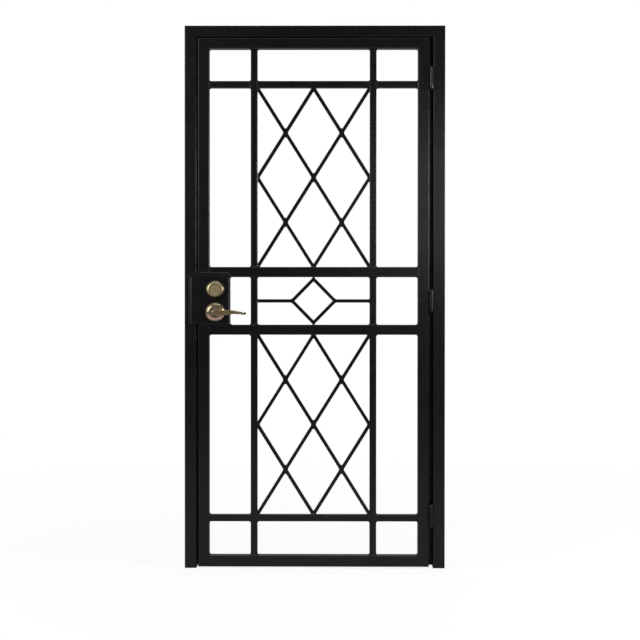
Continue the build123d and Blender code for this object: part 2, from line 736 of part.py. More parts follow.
def hinge_half(height, upper):
    """One half of a weld-on hinge: barrel, bore and the wing that is welded to its tube."""
    side = 1 if upper else -1
    z_near = height + side * (KNUCKLE_GAP / 2 + 1)
    z_low, z_high = sorted((z_near, z_near + side * WING_HEIGHT))
    wing_face = LEAF_RIGHT if upper else HINGE_FACE
    x_low, x_high = sorted((wing_face, wing_face + side * WING_THICKNESS))
    wing = block(x_low, x_high, HINGE_Y, FRONT + WING_REACH, z_low, z_high)
    bore_radius = PIN_RADIUS + (PIN_RUNNING_CLEARANCE if upper else PIN_SEAT_CLEARANCE)
    bore_end = PIN_DEPTH + (PIN_END_CLEARANCE if upper else 0)
    bore = Pos(HINGE_X, HINGE_Y, height + side * bore_end / 2) * Cylinder(bore_radius, bore_end)
    return half_barrel(height, upper) + wing - bore


def hinge_pins():
    """A plain pin in each hinge, standing in the lower barrel."""
    return [
        Pos(HINGE_X, HINGE_Y, height) * Cylinder(PIN_RADIUS, 2 * PIN_DEPTH)
        for height in HINGE_HEIGHTS.values()
    ]


def all_nodes():
    """Every sub-part by name, as a solid or a list of solids."""
    nodes = {
        "strike_jamb": strike_jamb(),
        "hinge_jamb": hinge_jamb(),
        "header": header(),
        "strike_stop": strike_stop(),
        "hinge_stop": hinge_stop(),
        "header_stop": header_stop(),
        "strike_plates": strike_plates(),
        "hinge_pins": hinge_pins(),
        "lock_stile": lock_stile(),
        "hinge_stile": hinge_stile(),
        "top_rail": top_rail(),
        "bottom_rail": bottom_rail(),
        "upper_middle_rail": upper_middle_rail(),
        "lower_middle_rail": lower_middle_rail(),
        "left_upright": upright_lengths(PANEL_LEFT - UPRIGHT_SIZE),
        "right_upright": upright_lengths(PANEL_RIGHT),
        "top_crossbar": crossbar_lengths(TOP_CROSSBAR_LOW),
        "bottom_crossbar": crossbar_lengths(BOTTOM_CROSSBAR_LOW),
        "upper_lattice": lattice(UPPER_RAIL_TOP, TOP_CROSSBAR_LOW),
        "lower_lattice": lattice(BOTTOM_CROSSBAR_HIGH, LOWER_RAIL_BOTTOM),
        "centre_diamond": centre_diamond(),
        "diamond_arms": diamond_arms(),
        "lock_box": lock_box(),
        "guard_plate": guard_plate(),
        "bolt_faceplates": bolt_faceplates(),
        "dead_bolt": dead_bolt(),
        "latch_bolt": latch_bolt(),
        "outer_lock_ring": lock_ring(PLATE_FRONT, -1),
        "outer_cylinder": lock_cylinder(PLATE_FRONT, -1),
        "inner_lock_ring": lock_ring(LEAF_BACK, 1),
        "inner_cylinder": lock_cylinder(LEAF_BACK, 1),
        "outer_rose": rose(PLATE_FRONT, -1),
        "inner_rose": rose(LEAF_BACK, 1),
        "outer_lever": lever(PLATE_FRONT, -1),
        "inner_lever": lever(LEAF_BACK, 1),
        "lever_spindle": lever_spindle(),
    }
    for name, height in HINGE_HEIGHTS.items():
        nodes[name + "_hinge_barrel"] = hinge_half(height, upper=False)
        nodes[name + "_hinge_sleeve"] = hinge_half(height, upper=True)
    return nodes


def solids_of(shape):
    """The plain solids of a shape or of a list of shapes."""
    shapes = shape if isinstance(shape, list) else [shape]
    return [solid for item in shapes for solid in item.solids()]


os.makedirs("parts", exist_ok=True)
for node_name, node_shape in all_nodes().items():
    export_step(Compound(children=solids_of(node_shape)), f"parts/{node_name}.step")
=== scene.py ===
"""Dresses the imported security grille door: its finishes, welds and screws, the studio and the camera.

Metres, in the same frame as the CAD: X to the right as seen from outside, -Y to the outside, +Z up.
"""
import json
from math import ceil, cos, pi, sin

import bmesh
import bpy
from mathutils import Matrix, Vector, noise


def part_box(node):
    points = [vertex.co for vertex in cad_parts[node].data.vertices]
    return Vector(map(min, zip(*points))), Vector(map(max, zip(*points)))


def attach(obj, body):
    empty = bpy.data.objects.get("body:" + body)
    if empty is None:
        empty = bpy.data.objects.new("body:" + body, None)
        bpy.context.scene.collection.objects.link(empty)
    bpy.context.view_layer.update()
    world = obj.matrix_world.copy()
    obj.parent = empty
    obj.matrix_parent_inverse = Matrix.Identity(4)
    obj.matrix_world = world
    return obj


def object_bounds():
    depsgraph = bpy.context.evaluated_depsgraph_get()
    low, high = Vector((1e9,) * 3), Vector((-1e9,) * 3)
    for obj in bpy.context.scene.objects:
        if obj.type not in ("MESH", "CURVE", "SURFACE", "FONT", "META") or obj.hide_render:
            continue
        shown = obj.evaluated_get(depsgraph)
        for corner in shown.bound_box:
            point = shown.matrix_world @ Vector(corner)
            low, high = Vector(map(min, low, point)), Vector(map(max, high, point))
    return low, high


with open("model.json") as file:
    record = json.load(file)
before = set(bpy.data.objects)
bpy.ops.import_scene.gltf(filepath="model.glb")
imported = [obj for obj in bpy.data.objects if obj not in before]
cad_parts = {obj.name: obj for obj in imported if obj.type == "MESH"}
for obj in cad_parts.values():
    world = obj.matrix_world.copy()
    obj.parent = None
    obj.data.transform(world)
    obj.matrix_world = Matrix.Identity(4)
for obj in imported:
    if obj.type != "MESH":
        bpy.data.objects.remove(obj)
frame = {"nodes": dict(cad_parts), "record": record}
cad_low, cad_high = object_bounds()

OUTWARD, INWARD = Vector((0, -1, 0)), Vector((0, 1, 0))
LEFTWARD, RIGHTWARD = Vector((-1, 0, 0)), Vector((1, 0, 0))
DOWNWARD, UPWARD = Vector((0, 0, -1)), Vector((0, 0, 1))


# Finishes

# The mix node's sockets share their names between numbers and colours, so they go by position.
MIX_SHARE = 0
MIX_NUMBERS, MIXED_NUMBER = (2, 3), 0
MIX_COLOURS, MIXED_COLOUR = (6, 7), 2


def map_range(tree, value, from_low, from_high, low, high, smooth=False):
    """Maps a value that lies between two limits to two others."""
    node = tree.nodes.new("ShaderNodeMapRange")
    if smooth:
        node.interpolation_type = "SMOOTHSTEP"
    for name, number in (
        ("From Min", from_low), ("From Max", from_high), ("To Min", low), ("To Max", high),
    ):
        node.inputs[name].default_value = number
    tree.links.new(value, node.inputs["Value"])
    return node.outputs["Result"]


def mix_shaders(tree, share, first, second):
    """Mixes two shaders by a share between 0 and 1."""
    node = tree.nodes.new("ShaderNodeMixShader")
    for value, socket in zip((share, first, second), node.inputs):
        tree.links.new(value, socket)
    return node.outputs[0]


class Finish:
    """A node material under construction: its tree, its shader and short ways to add nodes."""

    def __init__(self, name):
        self.material = bpy.data.materials.new(name)
        self.material.use_nodes = True
        self.tree = self.material.node_tree
        self.nodes = self.tree.nodes
        self.links = self.tree.links
        self.shader = self.nodes["Principled BSDF"]
        self.coordinates = self.nodes.new("ShaderNodeTexCoord")
        self.place = self.coordinates.outputs["Object"]

    def put(self, socket, value):
        """Sets a shader socket to a number or colour, or links another socket to it."""
        target = self.shader.inputs[socket]
        if isinstance(value, bpy.types.NodeSocket):
            self.links.new(value, target)
        else:
            target.default_value = value

    def noise(self, scale, detail, roughness=0.5, stretch=None):
        """Fine or broad noise in the row frame, optionally stretched along the axes."""
        texture = self.nodes.new("ShaderNodeTexNoise")
        texture.inputs["Scale"].default_value = scale
        texture.inputs["Detail"].default_value = detail
        texture.inputs["Roughness"].default_value = roughness
        if stretch:
            mapping = self.nodes.new("ShaderNodeMapping")
            mapping.inputs["Scale"].default_value = stretch
            self.links.new(self.place, mapping.inputs["Vector"])
            self.links.new(mapping.outputs["Vector"], texture.inputs["Vector"])
        else:
            self.links.new(self.place, texture.inputs["Vector"])
        return texture.outputs["Fac"]

    def spread(self, value, low, high, from_low=0.3, from_high=0.7):
        """Maps a value to two limits, from the middle part of a noise unless told otherwise."""
        return map_range(self.tree, value, from_low, from_high, low, high)

    def blend(self, share, first, second):
        """Mixes two colours by a share between 0 and 1."""
        node = self.nodes.new("ShaderNodeMix")
        node.data_type = "RGBA"
        self.links.new(share, node.inputs[MIX_SHARE])
        for position, colour in zip(MIX_COLOURS, (first, second)):
            if isinstance(colour, bpy.types.NodeSocket):
                self.links.new(colour, node.inputs[position])
            else:
                node.inputs[position].default_value = (*colour, 1)
        return node.outputs[MIXED_COLOUR]

    def mix(self, share, first, number):
        """Mixes a value with a plain number by a share between 0 and 1."""
        node = self.nodes.new("ShaderNodeMix")
        self.links.new(share, node.inputs[MIX_SHARE])
        self.links.new(first, node.inputs[MIX_NUMBERS[0]])
        node.inputs[MIX_NUMBERS[1]].default_value = number
        return node.outputs[MIXED_NUMBER]

    def edges(self, radius):
        """0 on flat ground, rising to 1 on convex and concave edges within a radius."""
        bevel = self.nodes.new("ShaderNodeBevel")
        bevel.samples = 4
        bevel.inputs["Radius"].default_value = radius
        geometry = self.nodes.new("ShaderNodeNewGeometry")
        agreement = self.nodes.new("ShaderNodeVectorMath")
        agreement.operation = "DOT_PRODUCT"
        self.links.new(bevel.outputs["Normal"], agreement.inputs[0])
        self.links.new(geometry.outputs["Normal"], agreement.inputs[1])
        return self.spread(agreement.outputs["Value"], low=1, high=0, from_low=0.9, from_high=1.0)

    def recesses(self, distance, deep, open_ground):
        """0 on open ground, rising to 1 in deep recesses, by the share of the sky that is seen."""
        shade = self.nodes.new("ShaderNodeAmbientOcclusion")
        shade.samples = 6
        shade.inputs["Distance"].default_value = distance
        return self.spread(shade.outputs["AO"], low=1, high=0, from_low=deep, from_high=open_ground)

    def facing(self, axis):
        """The part of the surface's own direction that lies along an axis, from -1 to 1."""
        axes = self.nodes.new("ShaderNodeSeparateXYZ")
        self.links.new(self.coordinates.outputs["Normal"], axes.inputs[0])
        return axes.outputs[axis]

    def facing_down(self, start, full):
        """0 where the surface looks level or up, rising to 1 as it looks down ever more steeply."""
        return self.spread(self.facing("Z"), low=1, high=0, from_low=-full, from_high=-start)

    def slant(self):
        """0 where the surface looks straight through the door, rising to 1 on slanting rims."""
        straight = self.nodes.new("ShaderNodeMath")
        straight.operation = "ABSOLUTE"
        self.links.new(self.facing("Y"), straight.inputs[0])
        return self.spread(straight.outputs[0], low=1, high=0, from_low=0.72, from_high=0.93)

    def bump(self, height, distance, strength, over=None):
        """Adds bumps of a noise, so many metres high, over other bumps if they are given."""
        node = self.nodes.new("ShaderNodeBump")
        node.inputs["Distance"].default_value = distance
        node.inputs["Strength"].default_value = strength
        self.links.new(height, node.inputs["Height"])
        if over is not None:
            self.links.new(over, node.inputs["Normal"])
        self.links.new(node.outputs["Normal"], self.shader.inputs["Normal"])
        return node.outputs["Normal"]


def powder_coat():
    """Satin black powder coat with its orange-peel texture, duller in deep recesses."""
    finish = Finish("satin_black_powder_coat")
    mottle = finish.spread(finish.noise(scale=34, detail=3), low=0, high=1)
    finish.put("Base Color", finish.blend(mottle, (0.0031, 0.0031, 0.0032), (0.0038, 0.0038, 0.0039)))
    satin = finish.spread(finish.noise(scale=11, detail=4), low=0.25, high=0.29)
    hollows = finish.recesses(distance=0.03, deep=0.30, open_ground=0.55)
    finish.put("Roughness", finish.mix(hollows, satin, 0.62))
    finish.put("Specular IOR Level", 0.5)
    waves = finish.bump(finish.noise(scale=9, detail=1), distance=0.0012, strength=0.05)
    peel = finish.noise(scale=620, detail=2, roughness=0.6)
    finish.bump(peel, distance=0.00010, strength=0.22, over=waves)
    return finish.material


def antique_brass(name, dull, bright, worn, rim, underside_painted_light, lip_painted_light, steepness, metallic, roughness, reach):
    """Brass under a brown patina that wears off edges, with light and shade painted on by the way it
    faces.

    Slanting rims take the rim's colour, which is painted shade on the lock. The underside's colour is
    painted light: shade on the lock, a reflection on the roses and levers. It comes in between the two
    steepnesses. The lip, the steepest part, takes painted shade on the lock and roses and a painted
    reflection on the levers. Patina and painted shade gather where another surface stands within the
    reach, in metres.
    """
    # The colour of patina, which also paints shade into the recesses.
    patina_and_painted_shade = (0.045, 0.027, 0.016)
    roughness_range = 0.07
    finish = Finish(name)
    cloud = finish.spread(finish.noise(scale=45, detail=4, roughness=0.6), low=0, high=1)
    tone = finish.blend(finish.edges(radius=0.0008), finish.blend(cloud, dull, bright), worn)
    # Painted light by the way each surface faces: the rim's, the underside's and the lip's colours.
    tone = finish.blend(finish.slant(), tone, rim)
    tone = finish.blend(finish.facing_down(*steepness), tone, underside_painted_light)
    tone = finish.blend(finish.facing_down(start=0.50, full=0.72), tone, lip_painted_light)
    # Patina and painted shade darken the recesses.
    hollows = finish.recesses(distance=reach, deep=0.45, open_ground=0.95)
    finish.put("Base Color", finish.blend(hollows, tone, patina_and_painted_shade))
    finish.put("Metallic", metallic)
    smears = finish.noise(scale=70, detail=4, roughness=0.6)
    finish.put("Roughness", finish.spread(smears, roughness, roughness + roughness_range))
    grain = finish.noise(scale=1500, detail=2, roughness=0.6)
    finish.bump(grain, distance=0.00004, strength=0.2)
    return finish.material


def lock_brass():
    """The dead bolt's rings: bright in front, with painted shade that darkens the slanting rim and
    makes its lower side nearly black.
    """
    return antique_brass(
        "antique_brass_lock",
        dull=(0.42, 0.34, 0.185), bright=(0.55, 0.455, 0.265), worn=(0.64, 0.54, 0.36),
        # The dark rim and the near-black underside and lip are painted shade.
        rim=(0.080, 0.072, 0.042), underside_painted_light=(0.014, 0.009, 0.007), lip_painted_light=(0.014, 0.009, 0.007),
        steepness=(0.02, 0.38), metallic=0.55, roughness=0.24, reach=0.012,
    )


def rose_brass():
    """The roses: olive in front, with a painted coppery reflection on their undersides and painted
    shade on the steepest part of the lip.
    """
    return antique_brass(
        "antique_brass_rose",
        dull=(0.30, 0.255, 0.150), bright=(0.42, 0.355, 0.225), worn=(0.52, 0.43, 0.28),
        # The rim keeps the bright tone. The pink underside is a painted reflection and the dark lip is
        # painted shade.
        rim=(0.42, 0.355, 0.225), underside_painted_light=(0.70, 0.47, 0.36), lip_painted_light=(0.10, 0.095, 0.060),
        steepness=(0.02, 0.20), metallic=0.76, roughness=0.15, reach=0.004,
    )


def lever_brass():
    """The levers: browner and darker than their roses, with a painted reflection that lightens their
    undersides.
    """
    return antique_brass(
        "antique_brass_lever",
        dull=(0.20, 0.140, 0.070), bright=(0.30, 0.215, 0.115), worn=(0.40, 0.30, 0.18),
        # The lighter underside and lip are a painted reflection.
        rim=(0.26, 0.200, 0.115), underside_painted_light=(0.36, 0.240, 0.165), lip_painted_light=(0.36, 0.240, 0.165),
        steepness=(0.10, 0.60), metallic=0.80, roughness=0.34, reach=0.006,
    )


def zinc_steel():
    """Plain zinc-plated steel with fine drawn lines that run upwards."""
    finish = Finish("zinc_plated_steel")
    cloud = finish.spread(finish.noise(scale=120, detail=3), low=0, high=1)
    finish.put("Base Color", finish.blend(cloud, (0.46, 0.465, 0.47), (0.60, 0.60, 0.595)))
    finish.put("Metallic", 1.0)
    smears = finish.noise(scale=90, detail=4, roughness=0.6)
    finish.put("Roughness", finish.spread(smears, low=0.28, high=0.42))
    lines = finish.noise(scale=900, detail=2, roughness=0.6, stretch=(1, 1, 0.06))
    finish.bump(lines, distance=0.00003, strength=0.4)
    return finish.material


FINISHES = {
    "black_coated_steel": powder_coat(),
    "antique_brass": rose_brass(),
    "bright_steel": zinc_steel(),
}
LOCK_BRASS, LEVER_BRASS = lock_brass(), lever_brass()
# The brass nodes whose tone isn't that of the roses, which wear the slot's own.
NODE_FINISHES = {
    "outer_lock_ring": LOCK_BRASS,
    "inner_lock_ring": LOCK_BRASS,
    "outer_cylinder": LOCK_BRASS,
    "inner_cylinder": LOCK_BRASS,
    "outer_lever": LEVER_BRASS,
    "inner_lever": LEVER_BRASS,
}

for subpart in frame["record"]["subparts"]:
    node = subpart["node"]
    node_mesh = frame["nodes"][node].data
    node_mesh.materials.clear()
    node_mesh.materials.append(NODE_FINISHES.get(node, FINISHES[subpart["material_slot"]]))


# Welds


def span(node, axis):
    """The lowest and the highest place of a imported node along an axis, at rest."""
    return tuple(getattr(corner, axis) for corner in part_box(node))


class Edges:
    """The CAD's own edges that the welds sit on."""

    stile_left, left = span("lock_stile", "x")
    right = span("hinge_stile", "x")[0]
    front, back = span("lock_stile", "y")
    top, bottom = span("top_rail", "z")[0], span("bottom_rail", "z")[1]
    lower_rail_low, lower_rail_high = span("lower_middle_rail", "z")
    upper_rail_low, upper_rail_high = span("upper_middle_rail", "z")
    middle_rails = ((lower_rail_low, lower_rail_high), (upper_rail_low, upper_rail_high))
    low_bar_low, low_bar_high = span("bottom_crossbar", "z")
    high_bar_low, high_bar_high = span("top_crossbar", "z")
    crossbars = ((low_bar_low, low_bar_high), (high_bar_low, high_bar_high))
    left_bar_left, panel_left = span("left_upright", "x")
    panel_right, right_bar_right = span("right_upright", "x")
    uprights = ((left_bar_left, panel_left), (panel_right, right_bar_right))
    bar_front, bar_back = span("left_upright", "y")
    grille_front, grille_back = span("upper_lattice", "y")
    box_right = span("lock_box", "x")[1]


# The legs of the beads, from the corner that they fill along each of its two surfaces.
CORNER_LEG = 0.0050
SEAM_LEG = 0.0028
LATTICE_LEG = 0.0034
SHARP_CROSSING_LEG = 0.0060
BLUNT_CROSSING_LEG = 0.0042
PLATE_LEG = 0.0036
HINGE_LEG = 0.0030
STOP_LEG = 0.0030

# How finely a bead is drawn along its line and across its face, and how deep its root sinks.
BEAD_STEP = 0.0007
RIPPLE_PITCH = 0.0021
FACE_STEPS = 6
ROOT_DEPTH = 0.0004

# The welds that are ground flat.
FLUSH_WIDTH = 0.0062
FLUSH_DEPTH = 0.0026
FLUSH_RISE = 0.00018

# How far a weld stays short of the rounded edges of a tube and of a slimmer bar, and of the lattice's
# front and back.
SHORT_OF_TUBE_EDGE = 0.0022
SHORT_OF_BAR_EDGE = 0.0006
SHORT_OF_LATTICE_FACE = 0.0004


def join_rings(shape, near, far):
    """Skins the gap between two closed rings of as many vertices."""
    for index in range(len(near)):
        following = (index + 1) % len(near)
        shape.faces.new((near[index], near[following], far[following], far[index]))


def close_sweep(shape, rings):
    """Skins a row of equal rings and closes both ends."""
    for near, far in zip(rings, rings[1:]):
        join_rings(shape, near, far)
    shape.faces.new(rings[0][::-1])
    shape.faces.new(rings[-1])


def bead(shape, start, end, side_a, side_b, leg):
    """Adds a weld bead in the corner line from start to end, between two surfaces.

    side_a and side_b point away from the corner along the two surfaces. The bead's face carries
    the curved ripples of a hand-run weld and thins at its ends.
    """
    fewest_steps = 6
    width_at_end, widening_per_step = 0.55, 0.15
    unevenness, fineness = 0.10, 180
    crown, ripple_height, ripple_bow = 0.02, 0.035, 0.4
    start, end = Vector(start), Vector(end)
    side_a, side_b = Vector(side_a).normalized(), Vector(side_b).normalized()
    outward = (side_a + side_b).normalized()
    length = (end - start).length
    steps = max(fewest_steps, ceil(length / BEAD_STEP))
    rings = []
    for step in range(steps + 1):
        along = length * step / steps
        place = start.lerp(end, step / steps)
        steps_from_end = min(along, length - along) / BEAD_STEP
        taper = min(1, width_at_end + widening_per_step * steps_from_end)
        width = leg * taper * (1 + unevenness * noise.noise(place * fineness))
        ring = [shape.verts.new(place - outward * ROOT_DEPTH)]
        for point in range(FACE_STEPS + 1):
            share = point / FACE_STEPS
            arch = sin(pi * share)
            ripple = ((along / RIPPLE_PITCH + ripple_bow * arch) % 1) * arch
            rise = width * (crown * arch + ripple_height * ripple)
            across = side_a * (1 - share) + side_b * share
            ring.append(shape.verts.new(place + across * width + outward * rise))
        rings.append(ring)
    close_sweep(shape, rings)


def flush_weld(shape, start, end, across, outward):
    """Fills the groove where two tubes meet flush, with a weld that is ground nearly flat."""
    fewest_steps, longest_step = 4, 4 * BEAD_STEP
    unevenness, fineness = 0.12, 140
    sunk_at_sides = 0.00002
    start, end = Vector(start), Vector(end)
    across, outward = Vector(across).normalized(), Vector(outward).normalized()
    length = (end - start).length
    steps = max(fewest_steps, ceil(length / longest_step))
    rings = []
    for step in range(steps + 1):
        place = start.lerp(end, step / steps)
        half = FLUSH_WIDTH / 2 * (1 + unevenness * noise.noise(place * fineness))
        ring = [
            shape.verts.new(place + across * half - outward * FLUSH_DEPTH),
            shape.verts.new(place - across * half - outward * FLUSH_DEPTH),
        ]
        for point in range(FACE_STEPS + 1):
            share = 2 * point / FACE_STEPS - 1
            crown = FLUSH_RISE * (1 - share * share) - sunk_at_sides
            ring.append(shape.verts.new(place + across * half * share + outward * crown))
        rings.append(ring)
    close_sweep(shape, rings)


def piece_from(shape, name, body, slot, smooth=True):
    """Turns a bmesh into a named piece that rides on a body and wears a slot's finish."""
    bmesh.ops.recalc_face_normals(shape, faces=shape.faces)
    mesh = bpy.data.meshes.new(name)
    shape.to_mesh(mesh)
    shape.free()
    mesh.polygons.foreach_set("use_smooth", [smooth] * len(mesh.polygons))
    mesh.materials.append(FINISHES[slot])
    piece = bpy.data.objects.new(name, mesh)
    bpy.context.scene.collection.objects.link(piece)
    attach(piece, body)


def bays():
    """The left, right, bottom and top of every opening of the leaf that has no lattice in it."""
    columns = (
        (Edges.left, Edges.left_bar_left),
        (Edges.panel_left, Edges.panel_right),
        (Edges.right_bar_right, Edges.right),
    )
    rows = (
        (Edges.bottom, Edges.low_bar_low),
        (Edges.low_bar_high, Edges.lower_rail_low),
        (Edges.lower_rail_high, Edges.upper_rail_low),
        (Edges.upper_rail_high, Edges.high_bar_low),
        (Edges.high_bar_high, Edges.top),
    )
    left_column, middle_column = 0, 1
    lattice_rows, lock_row = (1, 3), 2
    for column, (left, right) in enumerate(columns):
        for row, (bottom, top) in enumerate(rows):
            if column == middle_column and row in lattice_rows:
                continue
            if column == left_column and row == lock_row:
                yield Edges.box_right, right, bottom, top
            else:
                yield left, right, bottom, top


def opening_corner_welds():
    """Beads from front to back in the corners of the openings."""
    shape = bmesh.new()
    tube_faces = (Edges.left, Edges.right, Edges.box_right)
    rail_faces = (
        Edges.bottom, Edges.top, Edges.lower_rail_low, Edges.lower_rail_high, Edges.upper_rail_low,
        Edges.upper_rail_high,
    )
    for left, right, bottom, top in bays():
        for x, sideways in ((left, RIGHTWARD), (right, LEFTWARD)):
            for z, upright in ((bottom, UPWARD), (top, DOWNWARD)):
                if x in tube_faces and z in rail_faces:
                    near, far = Edges.front + SHORT_OF_TUBE_EDGE, Edges.back - SHORT_OF_TUBE_EDGE
                else:
                    near, far = Edges.bar_front + SHORT_OF_BAR_EDGE, Edges.bar_back - SHORT_OF_BAR_EDGE
                bead(shape, (x, near, z), (x, far, z), sideways, upright, CORNER_LEG)
    piece_from(shape, "opening_corner_welds", "leaf", "black_coated_steel")


def bar_seam_welds():
    """Beads across the front and back of the slimmer bars, where they meet the deeper tubes."""
    shape = bmesh.new()
    ends = (
        (Edges.bottom, UPWARD), (Edges.lower_rail_low, DOWNWARD), (Edges.lower_rail_high, UPWARD),
        (Edges.upper_rail_low, DOWNWARD), (Edges.upper_rail_high, UPWARD), (Edges.top, DOWNWARD),
    )
    inset = 0.001
    for y, facing in ((Edges.bar_front, OUTWARD), (Edges.bar_back, INWARD)):
        for low, high in Edges.uprights:
            for z, away in ends:
                bead(shape, (low + inset, y, z), (high - inset, y, z), facing, away, SEAM_LEG)
        for x, away in ((Edges.left, RIGHTWARD), (Edges.right, LEFTWARD)):
            for low, high in Edges.crossbars:
                bead(shape, (x, y, low + inset), (x, y, high - inset), facing, away, SEAM_LEG)
    piece_from(shape, "bar_seam_welds", "leaf", "black_coated_steel")


def flush_welds():
    """Ground welds where tubes of one depth meet face to face, and round the back of the lock box."""
    shape = bmesh.new()
    inset = SHORT_OF_TUBE_EDGE
    for y, facing in ((Edges.bar_front, OUTWARD), (Edges.bar_back, INWARD)):
        for x in (Edges.left_bar_left, Edges.panel_left, Edges.panel_right, Edges.right_bar_right):
            for low, high in Edges.crossbars:
                flush_weld(shape, (x, y, low + inset), (x, y, high - inset), RIGHTWARD, facing)
    for y, facing in ((Edges.front, OUTWARD), (Edges.back, INWARD)):
        for x in (Edges.left, Edges.right):
            for low, high in Edges.middle_rails:
                flush_weld(shape, (x, y, low + inset), (x, y, high - inset), RIGHTWARD, facing)
    back, low, high = Edges.back, Edges.lower_rail_high, Edges.upper_rail_low
    box_left, box_right = Edges.left + inset, Edges.box_right - inset
    for z in (low, high):
        flush_weld(shape, (box_left, back, z), (box_right, back, z), UPWARD, INWARD)
    flush_weld(shape, (Edges.left, back, low), (Edges.left, back, high), RIGHTWARD, INWARD)
    piece_from(shape, "flush_welds", "leaf", "black_coated_steel")


def through_bead(shape, x, z, side_a, side_b, leg=LATTICE_LEG):
    """A small bead through the thickness of the grille, in the angle between two directions."""
    near = Edges.grille_front + SHORT_OF_LATTICE_FACE
    far = Edges.grille_back - SHORT_OF_LATTICE_FACE
    bead(shape, (x, near, z), (x, far, z), side_a, side_b, leg)


def border_beads(shape, start, end, away):
    """Beads along the front and the back of a bar's foot on a border face."""
    for y, facing in ((Edges.grille_front, OUTWARD), (Edges.grille_back, INWARD)):
        bead(shape, (start[0], y, start[1]), (end[0], y, end[1]), facing, away, LATTICE_LEG)


def lattice_welds(name, low, high):
    """Beads at the crossings of a lattice and round the feet of its bars."""
    shape = bmesh.new()
    left, right = Edges.panel_left, Edges.panel_right
    middle_x, middle_z = (left + right) / 2, (low + high) / 2
    width, height = right - left, high - low
    rising = Vector((width, 0, height)).normalized()
    falling = Vector((width, 0, -height)).normalized()
    half_bar = (Edges.grille_back - Edges.grille_front) / 2
    reach = half_bar / rising.cross(falling).length
    quarter_x, quarter_z = width / 4, height / 4
    crossings = [(middle_x, middle_z)] + [
        (middle_x + side * quarter_x, middle_z + rise * quarter_z)
        for side in (-1, 1)
        for rise in (-1, 1)
    ]
    bars = (rising, falling, -rising, -falling)
    for x, z in crossings:
        for side_a, side_b in zip(bars, bars[1:] + bars[:1]):
            corner = Vector((x, 0, z)) + (side_a + side_b) * reach
            leg = SHARP_CROSSING_LEG if side_a.dot(side_b) > 0 else BLUNT_CROSSING_LEG
            through_bead(shape, corner.x, corner.z, side_a, side_b, leg)
    foot_up, foot_level = half_bar / rising.x, half_bar / rising.z
    for x, away in ((left, RIGHTWARD), (right, LEFTWARD)):
        upper, lower = (rising, falling) if x == left else (-falling, -rising)
        through_bead(shape, x, middle_z + foot_up, UPWARD, upper)
        through_bead(shape, x, middle_z - foot_up, DOWNWARD, lower)
        corner = Vector((x, 0, middle_z)) + (upper + lower) * reach
        through_bead(shape, corner.x, corner.z, upper, lower)
        border_beads(shape, (x, middle_z - foot_up), (x, middle_z + foot_up), away)
        for z, upright, bar in ((low, UPWARD, upper), (high, DOWNWARD, lower)):
            through_bead(shape, x, z + upright.z * foot_up, upright, bar)
            through_bead(shape, x + away.x * foot_level, z, away, bar)
            border_beads(shape, (x, z), (x, z + upright.z * foot_up), away)
            border_beads(shape, (x, z), (x + away.x * foot_level, z), upright)
    for z, away in ((low, UPWARD), (high, DOWNWARD)):
        leftward_bar, rightward_bar = (-falling, rising) if z == low else (-rising, falling)
        through_bead(shape, middle_x - foot_level, z, LEFTWARD, leftward_bar)
        through_bead(shape, middle_x + foot_level, z, RIGHTWARD, rightward_bar)
        corner = Vector((middle_x, 0, z)) + (leftward_bar + rightward_bar) * reach
        through_bead(shape, corner.x, corner.z, leftward_bar, rightward_bar)
        border_beads(shape, (middle_x - foot_level, z), (middle_x + foot_level, z), away)
    piece_from(shape, name, "leaf", "black_coated_steel")


def diamond_welds():
    """Beads where the centre diamond meets the rails and its arms, and the arms the uprights."""
    shape = bmesh.new()
    low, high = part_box("centre_diamond")
    arm_low, arm_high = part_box("diamond_arms")
    centre = (low + high) / 2
    half_bar = (arm_high.z - arm_low.z) / 2
    trimmed_off_each_tip = 0.0015
    width, height = high.x - low.x, high.z - low.z + 2 * trimmed_off_each_tip
    rising = Vector((width, 0, height)).normalized()
    flat, overhang = trimmed_off_each_tip * width / height, 0.003
    half_foot = flat + overhang
    reach = half_bar * width / height
    for z, away in ((low.z, UPWARD), (high.z, DOWNWARD)):
        leftward_bar = Vector((-rising.x, 0, away.z * rising.z))
        rightward_bar = Vector((rising.x, 0, away.z * rising.z))
        through_bead(shape, centre.x - flat, z, LEFTWARD, leftward_bar)
        through_bead(shape, centre.x + flat, z, RIGHTWARD, rightward_bar)
        border_beads(shape, (centre.x - half_foot, z), (centre.x + half_foot, z), away)
    for end, outward_x, arm in ((low.x, LEFTWARD, arm_low.x), (high.x, RIGHTWARD, arm_high.x)):
        for side, upright in ((1, UPWARD), (-1, DOWNWARD)):
            bar = Vector((-outward_x.x * rising.x, 0, side * rising.z))
            z = centre.z + side * half_bar
            through_bead(shape, end - outward_x.x * reach, z, outward_x, bar)
            through_bead(shape, arm, z, -outward_x, upright)
        border_beads(shape, (arm, arm_low.z), (arm, arm_high.z), -outward_x)
    piece_from(shape, "diamond_welds", "leaf", "black_coated_steel")


def guard_plate_welds():
    """Beads round the foot of the guard plate, on the lock stile and the middle rails."""
    shape = bmesh.new()
    low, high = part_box("guard_plate")
    short_of_corner, past_rail_edge, sunk_on_lower_rail = 0.004, 0.002, 0.0004
    y = Edges.front
    left, right, top, bottom = Edges.stile_left + short_of_corner, high.x, high.z, low.z
    bead(shape, (left, y, top), (right - short_of_corner, y, top), OUTWARD, UPWARD, PLATE_LEG)
    side_low, side_high = Edges.upper_rail_low + past_rail_edge, top - short_of_corner
    bead(shape, (right, y, side_low), (right, y, side_high), OUTWARD, RIGHTWARD, PLATE_LEG)
    y += sunk_on_lower_rail
    bead(shape, (left, y, bottom), (right, y, bottom), OUTWARD, DOWNWARD, SEAM_LEG)
    piece_from(shape, "guard_plate_welds", "leaf", "black_coated_steel")


